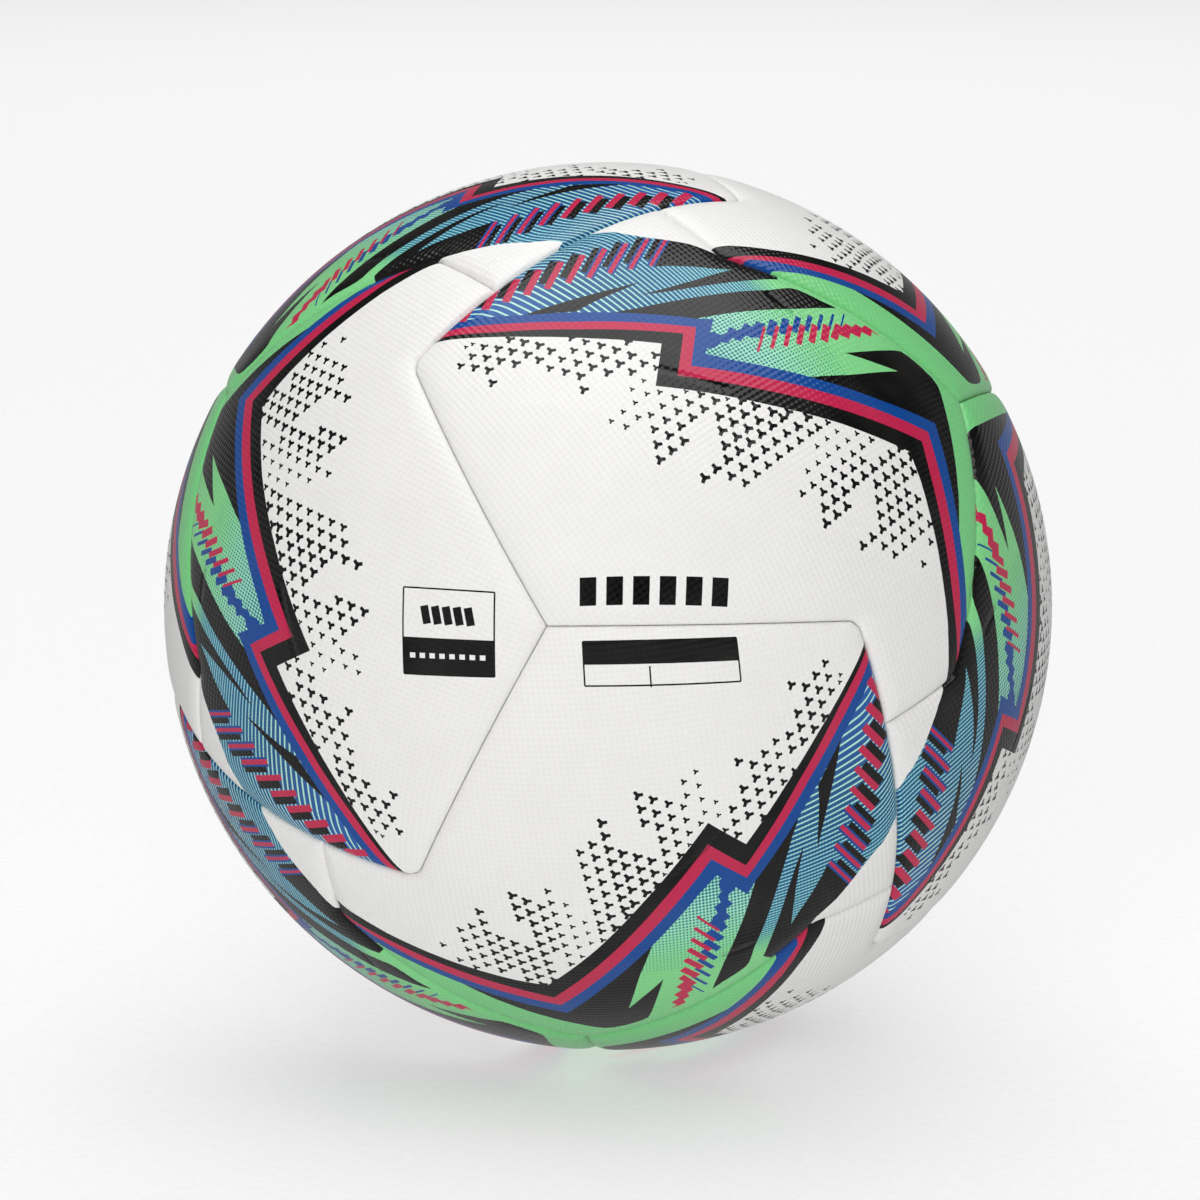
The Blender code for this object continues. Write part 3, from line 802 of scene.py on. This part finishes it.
def skin(name, paint, roughness=0.2, creased=True):
    """Printed polyurethane, embossed with a grid of low bumps, and with a few shallow creases where
    it is creased. paint gives the print's colour."""
    recipe = Recipe(name)
    place, x, y, to_seam = recipe.chart()
    rows = recipe.add(y, recipe.times(x, EMBOSS_LEAN))
    bumps = recipe.times(recipe.add(recipe.cosine(x, EMBOSS_PITCH), recipe.cosine(rows, EMBOSS_PITCH)), 0.5)
    grain = recipe.noise(place, 3.0, 3.0)
    clouds = recipe.noise(place, 0.06, 2.0)
    dust = recipe.scaled(clouds, 0.3, 0.7, 0.0, DUST_SHARE)
    colour = recipe.mix(dust, paint(recipe, x, y), linear(*DUST))
    # painted shade: the print darkens towards the bottoms of the emboss's valleys
    valley_shade_share = recipe.scaled(bumps, -1, 0, VALLEY_SHARE, 0.0)
    colour = recipe.mix(valley_shade_share, colour, linear(*VALLEY_SHADE))
    # painted shade: the print darkens within 0.4 mm of the seam, where the skin turns into the bond
    seam_shade_share = recipe.times(recipe.ramp(to_seam, 0.4, 0.1), SEAM_SHARE)
    colour = recipe.mix(seam_shade_share, colour, linear(*SEAM_SHADE))
    gloss = recipe.add(recipe.scaled(clouds, 0.3, 0.7, roughness - 0.03, roughness + 0.03),
                       recipe.scaled(grain, 0.2, 0.8, -0.02, 0.02))
    normal = recipe.bump(bumps, EMBOSS_DEPTH)
    if creased:
        to_creases = [recipe.distance_to_segment(x, y, *crease) for crease in CREASES]
        nearest = recipe.math("MINIMUM", recipe.math("MINIMUM", *to_creases[:2]), to_creases[2])
        # painted shade: the print darkens within half a millimetre of a crease's line; the crease's dip
        # itself is the bump below
        crease_shade_share = recipe.scaled(nearest, 0, 0.5, CREASE_SHARE, 0)
        colour = recipe.mix(crease_shade_share, colour, linear(*CREASE_SHADE))
        normal = recipe.bump(recipe.ramp(nearest, 0, CREASE_WIDTH), CREASE_DEPTH, normal)
    normal = recipe.bump(grain, GRAIN_DEPTH, normal)
    return recipe.finish(colour, gloss, normal, SKIN_IOR)


def plain(colour):
    """A paint of one colour."""
    return lambda recipe, x, y: linear(*colour)


HATCH_PITCH = 1.31  # millimetres, in the middle of the panel
HATCH_NARROWING = 0.023  # of the pitch for each millimetre to the right
HATCH_LEAST_PITCH = 0.3


def hatch_paint(recipe, x, y):
    """Thin light lines that lean more and stand wider apart towards the panel's outer corner. Their
    phase is the integral of one over the pitch."""
    lean = recipe.scaled(x, -35, 12, 0.27, 0.0)
    curl = recipe.times(recipe.math("POWER", recipe.math("MAXIMUM", recipe.add(y, -52), 0), 2), 0.045)
    across = recipe.add(recipe.add(x, recipe.times(lean, recipe.add(y, -45))), curl)
    pitch = recipe.add(HATCH_PITCH, recipe.times(across, -HATCH_NARROWING))
    pitch = recipe.math("MAXIMUM", pitch, HATCH_LEAST_PITCH)
    phase = recipe.times(recipe.math("LOGARITHM", pitch, math.e), -1 / HATCH_NARROWING)
    crest = recipe.math("ABSOLUTE", recipe.add(recipe.math("FRACT", phase), -0.5))
    beads = recipe.times(recipe.cosine(y, 0.85), recipe.scaled(x, -20, 10, 0.0, 0.05))
    half_width = recipe.add(recipe.scaled(x, -38, 20, 0.12, 0.19), beads)
    line = recipe.ramp(crest, recipe.add(half_width, 0.05), recipe.add(half_width, -0.05))
    ground = recipe.mix(recipe.ramp(x, -34, -4), linear(36, 92, 166), linear(22, 88, 138))
    ground = recipe.mix(recipe.ramp(x, 2, 24), ground, linear(38, 116, 146))
    light = recipe.mix(recipe.ramp(x, -20, 8), linear(186, 238, 222), linear(148, 216, 220))
    light = recipe.mix(recipe.ramp(x, 18, 31), light, linear(140, 224, 156))
    ground = recipe.mix(recipe.ramp(x, 22, 32), ground, linear(132, 218, 142))
    return recipe.mix(line, ground, light)


def halftone_paint(recipe, x, y):
    """Mint that turns green to the right, with dark dots that shrink as it does."""
    field = recipe.mix(recipe.ramp(x, 4, 31), linear(164, 230, 206), linear(134, 218, 144))
    waves = recipe.add(recipe.cosine(x, 1.0), recipe.cosine(y, 0.85))
    level = recipe.scaled(x, 0, 31, -0.3, 1.5)
    dot = recipe.ramp(waves, recipe.add(level, -0.25), recipe.add(level, 0.25))
    return recipe.mix(dot, field, linear(42, 122, 134))


def green_paint(recipe, x, y):
    """Green that deepens slightly to the lower right."""
    to_lower_right = recipe.add(x, recipe.times(y, -0.4))
    return recipe.mix(recipe.ramp(to_lower_right, 30, 70), linear(134, 218, 144), linear(124, 212, 136))


def skin_materials():
    """In the order of the print's material numbers."""
    return [
        skin("skin_white", plain((242, 241, 239)), 0.3, creased=False),
        skin("skin_black", plain((8, 8, 9))),
        skin("skin_crimson", plain((196, 34, 78))),
        skin("skin_blue", plain((8, 72, 150))),
        skin("skin_hatch", hatch_paint),
        skin("skin_halftone", halftone_paint),
        skin("skin_green", green_paint),
    ]


def rubber(name, colour, roughness):
    """Moulded rubber, slightly uneven in tone and gloss."""
    recipe = Recipe(name)
    place = recipe.place()
    grain = recipe.noise(place, 900, 4.0)
    clouds = recipe.noise(place, 60, 2.0)
    tone = recipe.mix(recipe.scaled(clouds, 0.3, 0.7, 0.0, 0.12), linear(*colour), linear(120, 116, 112))
    gloss = recipe.scaled(grain, 0.2, 0.8, roughness - 0.06, roughness + 0.06)
    return recipe.finish(tone, gloss, recipe.bump(grain, 0.02 * MM), ior=1.52)


def foam():
    """Pale foam with fine cells."""
    recipe = Recipe("foam")
    cells = recipe.nodes.new("ShaderNodeTexVoronoi")
    recipe.put(cells.inputs["Vector"], recipe.place())
    cells.inputs["Scale"].default_value = 1400
    distance = cells.outputs["Distance"]
    # painted shade: the foam is darker at its cells' middles, where the bump sinks into pits
    tone = recipe.mix(recipe.scaled(distance, 0, 0.8, 0, 1), linear(196, 194, 180), linear(232, 230, 220))
    gloss = recipe.scaled(distance, 0, 0.8, 0.95, 0.82)
    return recipe.finish(tone, gloss, recipe.bump(distance, 0.1 * MM))


def carcass_fabric():
    """Plain-woven cotton and polyester, from two crossed waves over the sphere."""
    recipe = Recipe("carcass_fabric")
    parts = recipe.nodes.new("ShaderNodeSeparateXYZ")
    recipe.put(parts.inputs[0], recipe.place())
    x, y, z = (parts.outputs[i] for i in range(3))
    round_turn = recipe.times(recipe.math("ARCTAN2", y, x), BALL_RADIUS * MM)
    warp = recipe.cosine(round_turn, 1.1 * MM)
    weft = recipe.cosine(z, 1.1 * MM)
    weave = recipe.times(warp, weft)
    # painted shade: the cloth is darker where the weave's bump sinks
    tone = recipe.mix(recipe.scaled(weave, -1, 1, 0, 1), linear(176, 172, 158), linear(224, 221, 210))
    gloss = recipe.scaled(weave, -1, 1, 0.9, 0.7)
    return recipe.finish(tone, gloss, recipe.bump(weave, 0.15 * MM))


def dress_frame_nodes():
    """Finishes for the CAD nodes that stay in view or inside the ball."""
    finishes = {
        "foam_backing": foam(),
        "carcass": carcass_fabric(),
        "bladder": rubber("bladder_butyl", (34, 34, 36), 0.45),
        "balance_patch": rubber("balance_rubber", (52, 50, 48), 0.6),
        "valve_body": rubber("valve_rubber", (28, 28, 30), 0.5),
        "valve_core": rubber("valve_core_silicone", (226, 224, 216), 0.35),
    }
    for name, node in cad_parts.items():
        for start, material in finishes.items():
            if name.startswith(start):
                for slot in node.material_slots:
                    slot.material = material


# ---------------------------------------------------------------- the ball


def add_cover():
    """The twelve printed panels, each in place of its CAD panel."""
    materials = skin_materials()
    for number, turn in enumerate(panel_turns(), start=1):
        name = f"printed_panel_{number:02d}"
        panel = bpy.data.objects.new(name, panel_mesh(name, number, turn, materials))
        bpy.context.scene.collection.objects.link(panel)
        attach(panel, "root")
        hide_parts(f"cover_panel_{number:02d}")


# ---------------------------------------------------------------- the studio

CAMERA_ELEVATION = math.radians(10)
CAMERA_DISTANCE = 1.2453  # from the ball's centre, along the view
CAMERA_LENS = 150.2  # millimetres, on a sensor 36 wide
BALL_RIGHT_OF_VIEW = 1.99 * MM
BALL_BELOW_VIEW = 1.49 * MM

FLOOR_HALF_SIZE = 12.0
FLOOR_GLOW = 0.52

# The room's brightness, and the height above the horizon, as a sine, where it has turned dark
ROOM_LOW = 0.34
ROOM_HIGH = 0.02
ROOM_DARK_FROM = 0.4

# Name, place, size in metres, power in watts, where it aims, and whether it shows in reflections
SOFTBOXES = (
    ("overhead", (0.1, -0.35, 2.4), 3.0, 59, (0.1, -0.35, 0), True),
    ("front_fill", (-0.35, -2.5, 0.9), 1.6, 33, (0, 0, 0), False),
    ("backdrop_light", (0, 3.6, 3), 4.0, 130, (0, 3.6, 0), False),
)


def add_camera():
    """Looks slightly down on the ball, square to its front."""
    camera = bpy.data.objects.new("camera", bpy.data.cameras.new("camera"))
    camera.data.lens = CAMERA_LENS
    camera.data.sensor_width = 36
    turn = Euler((math.pi / 2 - CAMERA_ELEVATION, 0, 0))
    camera.rotation_euler = turn
    offset = Vector((-BALL_RIGHT_OF_VIEW, BALL_BELOW_VIEW, CAMERA_DISTANCE))
    camera.location = turn.to_matrix() @ offset
    bpy.context.scene.collection.objects.link(camera)
    bpy.context.scene.camera = camera


def add_floor():
    """A wide sheet of paper under the ball, which glows enough to come out nearly white. Reflections
    show the dimmer room in its place."""
    half = FLOOR_HALF_SIZE
    level = -BALL_RADIUS * MM
    mesh = bpy.data.meshes.new("floor")
    corners = [(-half, -half, level), (half, -half, level), (half, half, level), (-half, half, level)]
    mesh.from_pydata(corners, [], [(0, 1, 2, 3)])
    recipe = Recipe("floor_paper")
    place = recipe.place()
    fibres = recipe.noise(place, 400, 3.0)
    tone = recipe.mix(recipe.scaled(fibres, 0.3, 0.7, 0, 1), linear(168, 168, 168), linear(176, 176, 176))
    recipe.finish(tone, 0.9, recipe.bump(fibres, 0.02 * MM))
    recipe.shader.inputs["Emission Color"].default_value = (1, 1, 1, 1)
    recipe.shader.inputs["Emission Strength"].default_value = FLOOR_GLOW
    mesh.materials.append(recipe.material)
    floor = bpy.data.objects.new("floor", mesh)
    floor.visible_glossy = False
    bpy.context.scene.collection.objects.link(floor)


def add_softbox(name, place, size, power, aim, in_reflections):
    """A square light; one that stays out of reflections only fills."""
    light = bpy.data.lights.new(name, "AREA")
    light.shape = "SQUARE"
    light.size = size
    light.energy = power
    softbox = bpy.data.objects.new(name, light)
    softbox.location = place
    softbox.rotation_euler = (Vector(place) - Vector(aim)).to_track_quat("Z", "Y").to_euler()
    softbox.visible_glossy = in_reflections
    bpy.context.scene.collection.objects.link(softbox)


def add_room():
    """The world: it gives no light but what shows in reflections, pale at the horizon and below."""
    world = bpy.data.worlds.new("studio")
    bpy.context.scene.world = world
    world.use_nodes = True
    nodes, links = world.node_tree.nodes, world.node_tree.links
    background = nodes["Background"]
    background.inputs["Color"].default_value = (1, 1, 1, 1)
    direction = nodes.new("ShaderNodeSeparateXYZ")
    links.new(nodes.new("ShaderNodeTexCoord").outputs["Generated"], direction.inputs["Vector"])
    brightness = nodes.new("ShaderNodeMapRange")
    brightness.inputs["From Min"].default_value = 0.0
    brightness.inputs["From Max"].default_value = ROOM_DARK_FROM
    brightness.inputs["To Min"].default_value = ROOM_LOW
    brightness.inputs["To Max"].default_value = ROOM_HIGH
    links.new(direction.outputs["Z"], brightness.inputs["Value"])
    links.new(brightness.outputs["Result"], background.inputs["Strength"])
    world.cycles_visibility.diffuse = False


add_cover()
dress_frame_nodes()
add_floor()
add_room()
for softbox in SOFTBOXES:
    add_softbox(*softbox)
add_camera()
bpy.context.scene.view_settings.view_transform = "Standard"
